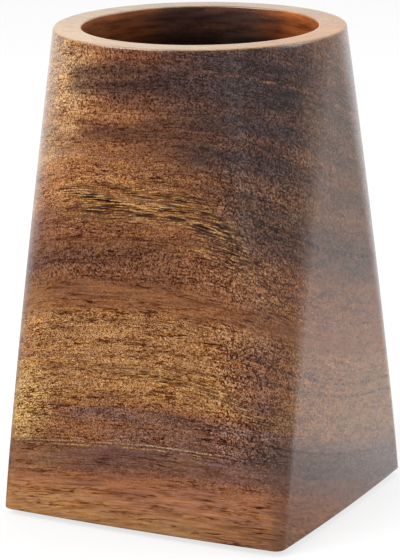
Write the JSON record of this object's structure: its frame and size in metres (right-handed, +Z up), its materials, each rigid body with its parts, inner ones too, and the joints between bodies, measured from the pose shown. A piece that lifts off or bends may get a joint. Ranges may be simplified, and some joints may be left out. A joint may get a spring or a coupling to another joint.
{
  "type": "pen holder",
  "caption": "Wooden desk pen holder: a tapered acacia block, square at the foot and round at the rim, with a deep round bore for pens and felt feet underneath.",
  "frame": {"origin": "on the desk, under the middle of the cup", "axes": "+Z up along the bore; -Y towards the wide grain face, +X towards the end-grain face"},
  "size_m": [0.0662, 0.0622, 0.1013],
  "materials": {
    "acacia_body": "oiled and polished acacia, semi-gloss",
    "acacia_floor": "oiled acacia, satin",
    "felt": "pressed wool felt, matt"
  },
  "bodies": {
    "root": {"body": "acacia_body", "floor_disc": "acacia_floor", "felt_foot_front_left": "felt", "felt_foot_front_right": "felt", "felt_foot_back_right": "felt", "felt_foot_back_left": "felt"}
  },
  "joints": []
}
